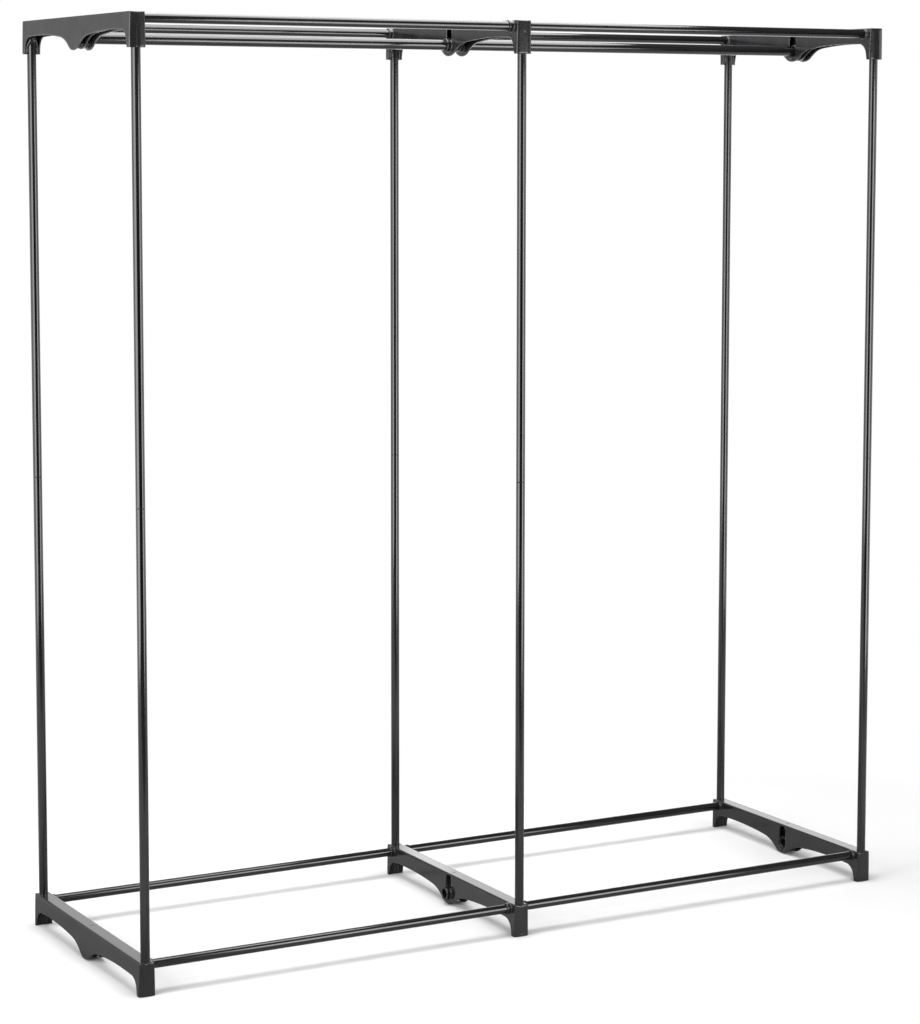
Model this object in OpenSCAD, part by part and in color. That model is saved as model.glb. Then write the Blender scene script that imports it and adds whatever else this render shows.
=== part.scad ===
// Free-standing two-bay clothes frame. Three moulded cross rails stand on the floor and three more
// close the top. Six posts, each in two sections, join them, thin tubes run along the front and the
// rear, and a hanging rod crosses each bay. Everything pushes together without tools or screws.
// X runs to the right, Y from the front to the rear and Z up, from the floor at the frame's middle.

/* [Bays] */
// Left bay, from the left posts to the middle posts
bay_left = 721; // [400:1:1000]
// Right bay, from the middle posts to the right posts
bay_right = 761; // [400:1:1000]
// Height from the floor to the top of the frame
frame_h = 1626; // [1200:1:2000]
// Height of the seam between the two sections of a post
seam_h = 819; // [400:1:1100]

/* [Tubes] */
// Outside diameter of the posts and of the front and rear tubes
tube_d = 16; // [12:0.5:17]
// Wall of the posts and of the front and rear tubes
tube_wall = 0.7; // [0.5:0.05:1.2]
// Outside diameter of the hanging rods
rod_d = 19; // [14:0.5:22]
// Wall of the hanging rods
rod_wall = 0.8; // [0.5:0.05:1.5]
// Radial clearance of a tube or rod in its socket
socket_clearance = 0.06; // [0.02:0.01:0.1]

/* [Post seam] */
// Length of the narrowed end that enters the upper section
spigot_len = 38; // [20:1:60]
// Radial clearance between the narrowed end and the upper section
spigot_clearance = 0.06; // [0.02:0.01:0.1]
// Height of the bevel on each side of the seam
seam_bevel_h = 0.7; // [0.3:0.05:1.2]
// Share of the tube's wall that the bevel leaves as a flat seat
seam_seat = 0.45; // [0.3:0.05:0.7]

/* [Cross rails] */
// Length of a cross rail from front to rear
rail_len = 495; // [420:1:600]
// Width of a cross rail at its closed face
rail_w = 26; // [26:0.5:34]
// How far each side wall spreads from the closed face to the open edge
rail_draft = 2; // [0.5:0.1:3]
// Height of a cross rail, from its open edge to its closed face
rail_h = 58; // [56:0.5:70]
// Side and end walls of a cross rail
rail_wall = 2.2; // [1.6:0.1:3]
// Closed face of a cross rail
rail_web = 2.5; // [1.8:0.1:3]
// Lengthwise rib inside a cross rail
rib_t = 2.4; // [1.6:0.1:3]
// How much higher than the side walls an end rail's rib ends
rib_rise = 2; // [1:0.5:8]
// How much higher than the side walls a middle rail's rib ends
middle_rib_rise = 8; // [1:0.5:9]
// Radius of a cross rail's upright corners
corner_r = 4; // [2:0.5:5]
// Radius across a cross rail of its slightly bowed end
end_bow_r = 70; // [40:5:200]
// Radius where the closed face turns down at the ends
end_edge_r = 3; // [1:0.5:5]
// Radius along the closed face's long edges
long_edge_r = 2; // [0.5:0.1:2.4]

/* [Arches] */
// Length of a foot along the rail
foot_len = 11.5; // [8:0.5:16]
// Lean of the inner edge of a foot, from upright
foot_lean = 12; // [5:1:35]
// Radius where the foot runs into the arch
foot_fillet_r = 24; // [12:1:30]
// Crown of the arch, below the closed face
arch_drop = 27.5; // [24:0.5:32]
// Crown of the arch, from the rail's end
arch_inset = 82; // [70:1:110]
// Radius of the arch
arch_r = 965; // [600:5:1500]
// Radius of the round lobe under the hanging rod
lobe_r = 37; // [30:0.5:45]
// Height of the lobe's lowest point above the open edge
lobe_gap = 1; // [0.5:0.1:3]
// Radius where the lobe runs into the arch
lobe_fillet_r = 80; // [50:1:100]

/* [Post sockets] */
// Skin between a post and the rail's end
post_skin = 1.5; // [1:0.1:3]
// Wall of the round boss that holds a post
boss_wall = 3.2; // [1.6:0.1:3.6]
// Height of a boss's end above the open edge
boss_gap = 0.5; // [0.5:0.5:6]
// Floor under a post in a bottom rail
post_floor = 3; // [2:0.5:6]
// Plate that ties a boss to the side walls
tie_t = 2; // [1.5:0.1:3]

/* [Front and rear tube sockets] */
// Distance between a post's axis and the axis of the tube beside it
tube_offset = 13; // [12:0.5:20]
// Skin between a tube and the rail's closed face
tube_skin = 2; // [1.95:0.05:3]
// Wall of a tube's socket
tube_collar_wall = 1.75; // [1.2:0.05:1.8]
// How far an end rail's tube sockets stand out of the side wall
tube_collar_out = 3; // [1:0.5:6]
// How far a middle rail's tube sockets stand out of the side wall
middle_tube_collar_out = 8; // [4:0.5:14]
// Half the wall between two tubes that meet end to end in a rail
tube_stop = 1.5; // [1:0.1:3]

/* [Hanging rod sockets] */
// Rod's axis, below the rail's closed face
rod_drop = 36.8; // [34:0.1:40]
// Wall of a rod's socket
rod_collar_wall = 2.6; // [1.2:0.1:3]
// Mouth of an end rail's rod socket, from the rail's middle
rod_mouth = 11.7; // [10:0.1:12]
// Mouth of a middle rail's rod socket, from the rail's middle
middle_rod_mouth = 22.6; // [18:0.1:30]
// Half the wall between two rods that meet end to end in a middle rail
rod_stop = 1.5; // [1:0.1:3]
// Far end of an end rail's rod socket, past the rail's middle
rod_end_stop = 9; // [4:0.5:9.5]
// Clear space beside a rod in an end rail's slot
slot_gap = 0.9; // [0.5:0.05:1]
// Skin over a slot, below the closed face
slot_skin = 0.3; // [0.2:0.1:2]
// Lowest point of an end rail's slot, below the rod's socket
slot_below = 3.5; // [1:0.5:6]
// Width of the slot over a middle rail's rod socket
mid_slot_w = 18.7; // [12:0.1:20]
// Radius of that slot's upper corners
mid_slot_r = 4; // [1:0.5:5]
// Small slit in the closed face over each rod socket, across the rail
slit_len = 7; // [4:0.5:10]
// Width of that slit
slit_w = 1.5; // [0.8:0.1:3]

/* [Hidden] */
$fn = 64;
plastic_black = "#1e1e20";
steel_black = "#121214";
// Small overrun that lets a cut pass clean through a face
over = 1;

// Places of the three rails and of the tubes
left_x = -(bay_left + bay_right) / 2;
middle_x = left_x + bay_left;
right_x = middle_x + bay_right;
half_len = rail_len / 2;
post_y = half_len - post_skin - tube_d / 2;
tube_y = post_y - tube_offset;
top_z = frame_h - rail_h;

// Sockets, in a rail's own heights above its open edge
post_bore_r = tube_d / 2 + socket_clearance;
post_boss_r = post_bore_r + boss_wall;
post_foot_z = boss_gap + post_floor;
tube_axis_z = rail_h - tube_skin - tube_d / 2;
tube_bore_r = tube_d / 2 + socket_clearance;
tube_collar_r = tube_bore_r + tube_collar_wall;
post_ceiling_z = tube_axis_z - tube_bore_r - tube_skin;
rod_axis_z = rail_h - rod_drop;
rod_bore_r = rod_d / 2 + socket_clearance;
rod_collar_r = rod_bore_r + rod_collar_wall;
slot_r = rod_bore_r + slot_gap;
// Middle of the slot's round lower end
slot_foot_z = rod_axis_z - rod_collar_r - slot_below + slot_r;
// A tube in a bottom rail stops where the boss round the post begins
tube_reach_y = min(tube_offset - tube_d / 2, post_boss_r);
bottom_tube_stop = sqrt(post_boss_r * post_boss_r - tube_reach_y * tube_reach_y);

// Half the rail's width at a height above its open edge
function half_w(z) = rail_w / 2 + rail_draft * (1 - z / rail_h);
// Points along an arc
function arc(c, r, a0, a1, n = 10) =
    [for (i = [0:n]) c + r * [cos(a0 + (a1 - a0) * i / n), sin(a0 + (a1 - a0) * i / n)]];
function bearing(from, to) = atan2(to.y - from.y, to.x - from.x);
function mirrored(points) = [for (i = [len(points) - 1:-1:0]) [-points[i].x, points[i].y]];
function without_last(points) = [for (i = [0:len(points) - 2]) points[i]];
// The point that lies at two given distances from two centres, on their left side
function circles_meet(p, rp, q, rq) =
    let (d = norm(q - p), u = (q - p) / d, a = (rp * rp - rq * rq + d * d) / (2 * d))
    p + a * u + sqrt(rp * rp - a * a) * [-u.y, u.x];
// The point on a line through p along u that lies at a given distance from c
function line_meets_circle(p, u, c, r) =
    let (w = p - c, b = w * u)
    p + u * (sqrt(b * b - w * w + r * r) - b);

// Arch between lobe and foot: four arcs that touch, in the plane along the rail
lobe_c = [0, lobe_gap + lobe_r];
arch_c = [half_len - arch_inset, rail_h - arch_drop - arch_r];
lobe_fillet_c = circles_meet(lobe_c, lobe_r + lobe_fillet_r, arch_c, arch_r - lobe_fillet_r);
foot_edge = [half_len - foot_len, 0];
foot_way = [-sin(foot_lean), cos(foot_lean)];
foot_out = [-cos(foot_lean), -sin(foot_lean)];
foot_fillet_c = line_meets_circle(foot_edge + foot_out * foot_fillet_r, foot_way, arch_c,
    arch_r - foot_fillet_r);

half_underside = concat(
    arc(lobe_c, lobe_r, -90, bearing(lobe_c, lobe_fillet_c)),
    arc(lobe_fillet_c, lobe_fillet_r, bearing(lobe_fillet_c, lobe_c), bearing(arch_c, lobe_fillet_c)),
    arc(arch_c, arch_r, bearing(arch_c, lobe_fillet_c), bearing(arch_c, foot_fillet_c)),
    arc(foot_fillet_c, foot_fillet_r, bearing(arch_c, foot_fillet_c), foot_lean),
    [foot_edge, [half_len, 0]]
);
half_side = concat(
    half_underside,
    arc([half_len - end_edge_r, rail_h - end_edge_r], end_edge_r, 0, 90)
);

module side_outline() {
    polygon(concat(half_side, without_last(mirrored(half_side))));
}

// Outline across a rail: its walls lean, and its long edges are rounded
module cross_outline(inset, top, edge_r) {
    half = concat(
        [[half_w(-over) - inset, -over]],
        arc([half_w(top) - inset - edge_r, top - edge_r], edge_r, 0, 90)
    );
    polygon(concat(half, mirrored(half)));
}

// Outline from above: round corners that run into bowed ends
module plan_outline(inset) {
    half = half_w(0) - inset;
    corner = corner_r - inset / 2;
    bow = end_bow_r - inset;
    bow_c = [0, half_len - end_bow_r];
    corner_c = [half - corner, bow_c.y + sqrt((bow - corner) * (bow - corner) - (half - corner) * (half - corner))];
    turn = bearing(bow_c, corner_c);
    right = concat(arc(corner_c, corner, 0, turn), arc(bow_c, bow, turn, 90));
    front_right = [for (i = [len(right) - 2:-1:0]) [right[i].x, -right[i].y]];
    half_plan = concat([[0, -right[len(right) - 1].y]], front_right, right);
    polygon(concat(half_plan, [for (i = [len(half_plan) - 2:-1:1]) [-half_plan[i].x, half_plan[i].y]]));
}

// Everything inside a rail's outer faces
module rail_envelope() {
    intersection() {
        rotate([90, 0, 90]) linear_extrude(2 * half_w(-over), center = true) side_outline();
        rotate([90, 0, 0]) linear_extrude(rail_len + 2 * over, center = true)
            cross_outline(0, rail_h, long_edge_r);
        linear_extrude(rail_h + over) plan_outline(0);
    }
}

// The open space inside a rail's walls
module rail_cavity() {
    intersection() {
        rotate([90, 0, 0]) linear_extrude(rail_len, center = true)
            cross_outline(rail_wall, rail_h - rail_web, long_edge_r / 2);
        translate([0, 0, -over]) linear_extrude(rail_h) plan_outline(rail_wall);
    }
}

module x_cylinder(r, x0, x1, y, z) {
    translate([min(x0, x1), y, z]) rotate([0, 90, 0]) cylinder(r = r, h = abs(x1 - x0));
}

// Slot in an end rail's inner wall, tall and round-ended
module end_slot(side) {
    top = rail_h - rail_web - slot_skin - slot_r;
    x0 = side * (half_w(rail_h) - rail_wall - over);
    x1 = side * (half_w(0) + over);
    for (z = [slot_foot_z, top]) x_cylinder(slot_r, x0, x1, 0, z);
    translate([min(x0, x1), -slot_r, slot_foot_z]) cube([abs(x1 - x0), 2 * slot_r, top - slot_foot_z]);
}

// Slot over a middle rail's rod socket, round in its upper corners, down to the socket
module middle_slot(side) {
    x0 = side * (half_w(rail_h) - rail_wall - over);
    x1 = side * (half_w(0) + over);
    half = mid_slot_w / 2;
    inner = half - mid_slot_r;
    height = rail_h - rail_web - slot_skin - rod_axis_z;
    translate([min(x0, x1), 0, rod_axis_z]) {
        translate([0, -half, 0]) cube([abs(x1 - x0), mid_slot_w, height - mid_slot_r]);
        translate([0, -inner, 0]) cube([abs(x1 - x0), 2 * inner, height]);
    }
    for (y = [-inner, inner]) x_cylinder(mid_slot_r, x0, x1, y, rod_axis_z + height - mid_slot_r);
}

module rib_and_bosses(rise) {
    intersection() {
        rail_envelope();
        union() {
            rotate([90, 0, 90]) linear_extrude(rib_t, center = true) intersection() {
                side_outline();
                translate([0, rise]) side_outline();
            }
            for (end = [-1, 1]) {
                translate([0, end * post_y, boss_gap]) cylinder(r = post_boss_r, h = rail_h);
                translate([-rail_w, end * post_y - tie_t / 2, boss_gap]) cube([2 * rail_w, tie_t, rail_h]);
            }
        }
    }
}

// One moulding serves as a bottom rail and as a top rail. sides lists the side walls that hold tubes,
// 1 for the right one and -1 for the left one. The post sockets open upwards in a bottom rail and
// downwards in a top rail.
module cross_rail(sides, is_top) {
    is_middle = len(sides) == 2;
    stop = is_top ? tube_stop : bottom_tube_stop;
    tube_out = half_w(tube_axis_z) + (is_middle ? middle_tube_collar_out : tube_collar_out);
    rod_out = is_middle ? middle_rod_mouth : rod_mouth;
    rod_in = is_middle ? rod_stop : -rod_end_stop;
    difference() {
        union() {
            difference() {
                rail_envelope();
                rail_cavity();
                for (side = sides) if (is_middle) middle_slot(side); else end_slot(side);
            }
            rib_and_bosses(is_middle ? middle_rib_rise : rib_rise);
            for (side = sides) {
                for (end = [-1, 1])
                    x_cylinder(tube_collar_r, side * (stop - tube_stop), side * tube_out, end * tube_y, tube_axis_z);
                // In an end rail the socket's body also fills the foot of the slot
                for (z = is_middle ? [rod_axis_z] : [rod_axis_z, slot_foot_z])
                    x_cylinder(rod_collar_r, side * (rod_in - rod_stop), side * rod_out, 0, z);
            }
        }
        for (end = [-1, 1]) translate([0, end * post_y, is_top ? -over : post_foot_z])
            cylinder(r = post_bore_r, h = is_top ? post_ceiling_z + over : rail_h);
        for (side = sides) {
            for (end = [-1, 1])
                x_cylinder(tube_bore_r, side * stop, side * (tube_out + rail_w), end * tube_y, tube_axis_z);
            x_cylinder(rod_bore_r, side * rod_in, side * (rod_out + rail_w), 0, rod_axis_z);
        }
        translate([-slit_len / 2, -slit_w / 2, rail_h - rail_web]) cube([slit_len, slit_w, rail_web + over]);
    }
}

module bottom_rail(x, sides) {
    color(plastic_black) translate([x, 0, 0]) cross_rail(sides, false);
}

module top_rail(x, sides) {
    color(plastic_black) translate([x, 0, top_z]) cross_rail(sides, true);
}

// Lower section of a post: its upper end is narrowed to enter the section above
module lower_post(x, end) {
    r = tube_d / 2;
    bore = r - tube_wall;
    seat = bore + tube_wall * seam_seat;
    spigot = bore - spigot_clearance;
    foot = post_foot_z;
    color(steel_black) translate([x, end * post_y, 0]) rotate_extrude() polygon([
        [bore, foot], [r, foot], [r, seam_h - seam_bevel_h], [seat, seam_h], [spigot, seam_h],
        [spigot, seam_h + spigot_len], [spigot - tube_wall, seam_h + spigot_len],
        [spigot - tube_wall, seam_h - spigot_len / 4], [bore, seam_h - spigot_len / 2]
    ]);
}

// Upper section of a post: a plain tube that sits on the lower section's shoulder
module upper_post(x, end) {
    r = tube_d / 2;
    bore = r - tube_wall;
    seat = bore + tube_wall * seam_seat;
    head = top_z + post_ceiling_z;
    color(steel_black) translate([x, end * post_y, 0]) rotate_extrude() polygon([
        [bore, seam_h], [seat, seam_h], [r, seam_h + seam_bevel_h], [r, head], [bore, head]
    ]);
}

module level_tube(d, wall, x0, x1, y, z) {
    color(steel_black) difference() {
        x_cylinder(d / 2, x0, x1, y, z);
        x_cylinder(d / 2 - wall, x0 - over, x1 + over, y, z);
    }
}

module bottom_tube(from_x, to_x, end) {
    level_tube(tube_d, tube_wall, from_x + bottom_tube_stop, to_x - bottom_tube_stop, end * tube_y, tube_axis_z);
}

module top_tube(from_x, to_x, end) {
    level_tube(tube_d, tube_wall, from_x + tube_stop, to_x - tube_stop, end * tube_y, top_z + tube_axis_z);
}

module hanging_rod(x0, x1) {
    level_tube(rod_d, rod_wall, x0, x1, 0, top_z + rod_axis_z);
}

front = -1;
rear = 1;
to_left = -1;
to_right = 1;

bottom_rail(left_x, [to_right]);  // bottom_rail_left
bottom_rail(middle_x, [to_left, to_right]);  // bottom_rail_middle
bottom_rail(right_x, [to_left]);  // bottom_rail_right
top_rail(left_x, [to_right]);  // top_rail_left
top_rail(middle_x, [to_left, to_right]);  // top_rail_middle
top_rail(right_x, [to_left]);  // top_rail_right
lower_post(left_x, front);  // lower_post_front_left
lower_post(middle_x, front);  // lower_post_front_middle
lower_post(right_x, front);  // lower_post_front_right
lower_post(left_x, rear);  // lower_post_rear_left
lower_post(middle_x, rear);  // lower_post_rear_middle
lower_post(right_x, rear);  // lower_post_rear_right
upper_post(left_x, front);  // upper_post_front_left
upper_post(middle_x, front);  // upper_post_front_middle
upper_post(right_x, front);  // upper_post_front_right
upper_post(left_x, rear);  // upper_post_rear_left
upper_post(middle_x, rear);  // upper_post_rear_middle
upper_post(right_x, rear);  // upper_post_rear_right
bottom_tube(left_x, middle_x, front);  // bottom_tube_front_left
bottom_tube(middle_x, right_x, front);  // bottom_tube_front_right
bottom_tube(left_x, middle_x, rear);  // bottom_tube_rear_left
bottom_tube(middle_x, right_x, rear);  // bottom_tube_rear_right
top_tube(left_x, middle_x, front);  // top_tube_front_left
top_tube(middle_x, right_x, front);  // top_tube_front_right
top_tube(left_x, middle_x, rear);  // top_tube_rear_left
top_tube(middle_x, right_x, rear);  // top_tube_rear_right
hanging_rod(left_x - rod_end_stop, middle_x - rod_stop);  // hanging_rod_left
hanging_rod(middle_x + rod_stop, right_x + rod_end_stop);  // hanging_rod_right
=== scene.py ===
import math

import bpy
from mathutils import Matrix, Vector

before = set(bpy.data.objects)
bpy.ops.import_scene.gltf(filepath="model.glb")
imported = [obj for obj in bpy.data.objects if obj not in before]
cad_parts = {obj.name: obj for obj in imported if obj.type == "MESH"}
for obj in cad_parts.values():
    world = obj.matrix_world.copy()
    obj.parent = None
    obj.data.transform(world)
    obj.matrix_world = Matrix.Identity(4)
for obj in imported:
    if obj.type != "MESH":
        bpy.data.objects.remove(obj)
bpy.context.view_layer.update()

# The camera. The photograph was taken from the front left, from about chest height, and looks a
# little down at the frame. Its picture is 920 by 1024, so the sensor's size belongs to the height.
eye_place = (-2.4756, -4.4323, 1.4336)
eye_turn = math.radians(29.081)
eye_down = math.radians(5.719)
eye_roll = math.radians(-0.058)
eye_reach = 200
focal_pixels = 2776.5
picture_height = 1024
picture_rise = -0.10
sensor_size = 36

eye_data = bpy.data.cameras.new("eye")
eye_data.sensor_width = sensor_size
eye_data.lens = focal_pixels * sensor_size / picture_height
eye_data.shift_y = picture_rise
eye_data.clip_end = eye_reach
eye = bpy.data.objects.new("eye", eye_data)
eye.location = eye_place
eye.rotation_euler = (math.pi / 2 - eye_down, eye_roll, -eye_turn)
bpy.context.scene.collection.objects.link(eye)
bpy.context.scene.camera = eye
bpy.context.scene.view_settings.view_transform = "Standard"


# The studio. A white floor in a white surround, with large soft boxes low around the frame: bright at
# the left and the front right, weak at the rear. One hangs above and gives the soft bands of shadow.
# The room behind the camera is dark, so the black tubes show bright edges with a dark middle.
class Wire:
    """One output of a shader's nodes. Arithmetic on wires adds the Math nodes that do it."""

    def __init__(self, tree, socket):
        self.tree = tree
        self.socket = socket

    def add(self, kind, sockets, settings=None, output=0):
        """Adds a node: its settings first, then a value or a wire for each socket."""
        node = self.tree.nodes.new(kind)
        for name, value in (settings or {}).items():
            setattr(node, name, value)
        for key, value in sockets.items():
            if isinstance(value, Wire):
                self.tree.links.new(value.socket, node.inputs[key])
            else:
                node.inputs[key].default_value = value
        return Wire(self.tree, node.outputs[output] if node.outputs else None)

    def other(self, output):
        """Another output of the node that this wire comes from."""
        return Wire(self.tree, self.socket.node.outputs[output])

    def maths(self, operation, first, second):
        return self.add("ShaderNodeMath", {0: first, 1: second}, {"operation": operation})

    def __add__(self, addend):
        return self.maths("ADD", self, addend)

    def __radd__(self, addend):
        return self.maths("ADD", addend, self)

    def __sub__(self, less):
        return self.maths("SUBTRACT", self, less)

    def __rsub__(self, whole):
        return self.maths("SUBTRACT", whole, self)

    def __mul__(self, factor):
        return self.maths("MULTIPLY", self, factor)

    def __rmul__(self, factor):
        return self.maths("MULTIPLY", factor, self)

    def above(self, low, high):
        """0 below low and 1 above high, with a smooth step between."""
        return self.add("ShaderNodeMapRange", {"Value": self, "From Min": low, "From Max": high},
                        {"interpolation_type": "SMOOTHSTEP"})

    def mixed(self, first, second):
        """A colour that goes from first to second as this wire goes from 0 to 1."""
        return self.add("ShaderNodeMix", {0: self, 6: first, 7: second}, {"data_type": "RGBA"}, output=2)


def start(tree):
    """A wire with nothing on it, to add a shader's first nodes with."""
    return Wire(tree, None)


def axis_of(wire, axis):
    """One of the three numbers of a vector."""
    return wire.add("ShaderNodeSeparateXYZ", {"Vector": wire}, output=axis)


def grey(level):
    """A colour without a tint."""
    return (level, level, level, 1.0)


# The surround is white to the camera and lights the frame only faintly. In reflections it is brighter
# towards the rear, up to a low height, where a real studio has its white backdrop.
surround_white = grey(1.0)
fill_strength = 0.06
dark_side = 0.2
bright_side = 0.6
backdrop_turn = (0.0, 0.5)
backdrop_top = (0.28, 0.38)

world = bpy.data.worlds.new("surround")
bpy.context.scene.world = world
world.use_nodes = True
world.node_tree.nodes.clear()
sky = start(world.node_tree)
camera_ray = sky.add("ShaderNodeLightPath", {})
glossy_ray = camera_ray.other("Is Glossy Ray")
clear_ray = camera_ray.other("Is Transmission Ray")
way = sky.add("ShaderNodeTexCoord", {})
low = 1 - axis_of(way, 2).above(*backdrop_top)
rearward = axis_of(way, 1).above(*backdrop_turn) * low
glossy_strength = dark_side + rearward * (bright_side - dark_side)
seen = sky.maths("MAXIMUM", camera_ray, clear_ray)
strength = seen + (1 - seen) * (glossy_ray * glossy_strength + (1 - glossy_ray) * fill_strength)
light = sky.add("ShaderNodeBackground", {"Color": surround_white, "Strength": strength})
sky.add("ShaderNodeOutputWorld", {"Surface": light})


def soft_box(name, place, aim, width, height, radiance):
    """A rectangle at place that faces aim and shines evenly with that radiance."""
    data = bpy.data.lights.new(name, "AREA")
    data.shape = "RECTANGLE"
    data.size = width
    data.size_y = height
    data.energy = radiance * math.pi * width * height
    box = bpy.data.objects.new(name, data)
    box.location = place
    box.rotation_euler = (Vector(aim) - Vector(place)).to_track_quat("-Z", "Y").to_euler()
    box.visible_camera = False
    bpy.context.scene.collection.objects.link(box)


# Name, place, the point it faces, width, height and radiance of each soft box
soft_boxes = (
    ("left_light", (-2.5, -0.9, 1.15), (0, -0.9, 1.15), 1.9, 1.9, 6.2),
    ("rear_left_light", (-2.2, 1.1, 1.05), (0, 0.3, 1.05), 1.8, 1.9, 0.9),
    ("right_light", (1.1, -2.35, 0.79), (0.5, 0, 0.79), 1.35, 1.56, 7.0),
    ("far_right_light", (3.0, -1.25, 0.95), (0.6, -0.9, 0.95), 1.9, 1.9, 2.0),
    ("rear_light", (0.4, 2.6, 1.1), (0.4, 0, 1.1), 2.0, 2.1, 0.75),
    ("rear_right_light", (2.3, 2.5, 1.1), (1.6, 0, 1.1), 2.0, 2.1, 1.4),
    ("top_light", (-0.25, 0.0, 2.3), (-0.25, 0, 0), 2.1, 1.3, 6.6),
)
for box_values in soft_boxes:
    soft_box(*box_values)

# The floor is matt paper near the frame, where it takes the shadows, and plain white farther out.
# Less light falls on it at the rear and at the right, so the paper is painted whiter there to make up
# for it. In reflections it is greyer, and darker at the left. In front, towards the camera, it is as
# dark as the room.
floor_half = 60.0
floor_squeeze = (0.62, 1.0, 1.0)
floor_near = 0.58
floor_far = 0.98
paper_front = (-1.8, -1.3)
room_tone = grey(0.2)
rear_range = (-0.3, 0.75)
rear_lean = 0.3
front_tone = grey(0.76)
rear_tone = grey(0.98)
mirror_range = (-0.8, -0.4)
mirror_left = grey(0.28)
mirror_right = grey(0.45)

floor_mesh = bpy.data.meshes.new("floor")
corners = [(x * floor_half, y * floor_half, 0.0) for x, y in ((-1, -1), (1, -1), (1, 1), (-1, 1))]
floor_mesh.from_pydata(corners, [], [(0, 1, 2, 3)])
floor = bpy.data.objects.new("floor", floor_mesh)
bpy.context.scene.collection.objects.link(floor)

floor_paint = bpy.data.materials.new("floor_white")
floor_paint.use_nodes = True
floor_paint.node_tree.nodes.clear()
ground = start(floor_paint.node_tree)
here = ground.add("ShaderNodeTexCoord", {}, output="Object")
squeezed = ground.add("ShaderNodeVectorMath", {0: here, 1: floor_squeeze}, {"operation": "MULTIPLY"})
away = ground.add("ShaderNodeVectorMath", {0: squeezed}, {"operation": "LENGTH"}, output="Value")
camera_ray = ground.add("ShaderNodeLightPath", {})
glossy_ray = camera_ray.other("Is Glossy Ray")
outer = away.above(floor_near, floor_far)
paper = axis_of(here, 1).above(*paper_front)
# Painted brightening: the paper is whiter towards the rear and the right, where less light falls, so the
# open floor comes out evenly white.
rearness = (axis_of(here, 1) + axis_of(here, 0) * rear_lean).above(*rear_range)
pale = rearness.mixed(front_tone, rear_tone)
mirrored = axis_of(here, 0).above(*mirror_range).mixed(mirror_left, mirror_right)
tone = glossy_ray.mixed(pale, mirrored)
matt = ground.add("ShaderNodeBsdfDiffuse", {"Color": paper.mixed(room_tone, tone)})
glow = ground.add("ShaderNodeEmission", {"Color": surround_white, "Strength": 1.0})
seen = ground.maths("MAXIMUM", outer, 1 - paper) * camera_ray + outer * paper * glossy_ray
blend = ground.add("ShaderNodeMixShader", {0: seen, 1: matt, 2: glow})
ground.add("ShaderNodeOutputMaterial", {"Surface": blend})
floor.data.materials.append(floor_paint)


# The six cross rails. Each is one black injection moulding in a tough matt plastic, an open channel
# with a leg at each end and a round lobe for the hanging rod. The skin has a fine even grain, a little
# blotchy in gloss, with faint flow lines along the rail, and the shading rounds the moulding's edges.
def principled(colour, gloss, normal, specular_level, ior=1.5):
    """A shader from a colour, a roughness and a normal, with its fixed levels."""
    shader = colour.add("ShaderNodeBsdfPrincipled", {
        "Base Color": colour, "Roughness": gloss, "Normal": normal,
        "IOR": ior, "Specular IOR Level": specular_level})
    shader.add("ShaderNodeOutputMaterial", {"Surface": shader})


def blank_material(name):
    """A material with no nodes yet, and its object coordinates, which are metres in the row's frame."""
    material = bpy.data.materials.new(name)
    material.use_nodes = True
    material.node_tree.nodes.clear()
    return material, start(material.node_tree).add("ShaderNodeTexCoord", {}, output="Object")


def noise(place, scale, detail, stretch=(1.0, 1.0, 1.0)):
    """Even noise with scale cells a metre, drawn out along an axis where stretch is small."""
    drawn = place.add("ShaderNodeVectorMath", {0: place, 1: stretch}, {"operation": "MULTIPLY"})
    return drawn.add("ShaderNodeTexNoise", {"Vector": drawn, "Scale": scale, "Detail": detail})


rail_black = (0.008, 0.008, 0.0088, 1.0)
rail_grey = (0.014, 0.014, 0.0152, 1.0)
rail_gloss = 0.09
rail_specular = 0.55
edge_radius = 0.004
grain_depth = 0.00003

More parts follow.
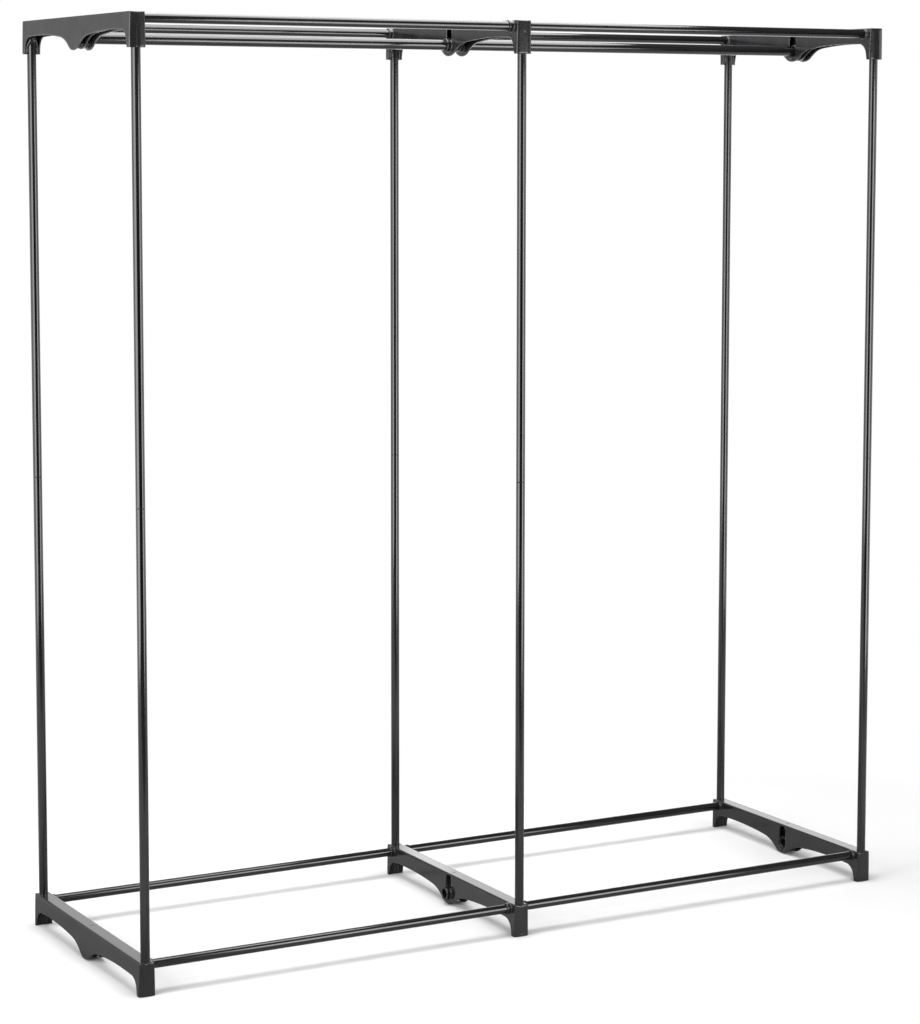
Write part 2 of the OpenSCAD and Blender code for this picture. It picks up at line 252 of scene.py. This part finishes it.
rail_plastic, place = blank_material("rail_plastic")
grain = noise(place, 2600.0, 1.0)
blotch = noise(place, 34.0, 4.0)
flow = noise(place, 60.0, 2.0, (1.0, 0.12, 1.0))
height = grain * 0.7 + flow * 0.3
edges = height.add("ShaderNodeBevel", {"Radius": edge_radius}, {"samples": 8})
relief = height.add("ShaderNodeBump", {
    "Height": height, "Strength": 0.12, "Distance": grain_depth, "Normal": edges})
tint = blotch.above(0.3, 0.75).mixed(rail_black, rail_grey)
principled(tint, rail_gloss + blotch * 0.06 + flow * 0.03, relief, rail_specular)


def dress(names, material):
    """Gives CAD pieces their material."""
    for name in names:
        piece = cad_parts[name]
        piece.data.materials.clear()
        piece.data.materials.append(material)
        for face in piece.data.polygons:
            face.material_index = 0


levels = ("bottom", "top")
sides = ("left", "middle", "right")
dress([f"{level}_rail_{side}" for level in levels for side in sides], rail_plastic)


# The posts and the front and rear tubes. Thin steel tube 16 mm across, coated with a baked black
# enamel that is glossy but not quite smooth: it has a slight orange peel and faint marks along the
# tube from drawing and packing.
enamel_black = (0.004, 0.004, 0.0047, 1.0)
enamel_grey = (0.007, 0.007, 0.008, 1.0)
enamel_gloss = 0.06
enamel_specular = 0.58
mark_stretch = 0.02
peel_depth = 0.00006


def enamel(name, along):
    """Black enamel on a tube that runs along one axis: 0 for X and 2 for Z."""
    material, place = blank_material(name)
    drawn = [mark_stretch if axis == along else 1.0 for axis in range(3)]
    peel = noise(place, 900.0, 2.0)
    streak = noise(place, 420.0, 2.0, drawn)
    cloud = noise(place, 9.0, 3.0)
    height = peel * 0.6 + streak * 0.4
    relief = height.add("ShaderNodeBump", {"Height": height, "Strength": 0.12, "Distance": peel_depth})
    tint = cloud.above(0.35, 0.7).mixed(enamel_black, enamel_grey)
    principled(tint, enamel_gloss + streak * 0.06 + cloud * 0.04, relief, enamel_specular)
    return material


ends = ("front", "rear")
post_enamel = enamel("post_enamel", 2)
tube_enamel = enamel("tube_enamel", 0)
dress([f"{level}_post_{end}_{side}" for level in ("lower", "upper") for end in ends for side in sides],
      post_enamel)
dress([f"{level}_tube_{end}_{side}" for level in levels for end in ends for side in ("left", "right")],
      tube_enamel)


# The two hanging rods. The same enamel on a thicker steel tube, 19 mm across, that carries the hangers.
# Each rod is held at its two ends, in the round lobes of the top rails.
rod_enamel = enamel("rod_enamel", 0)
dress(["hanging_rod_left", "hanging_rod_right"], rod_enamel)
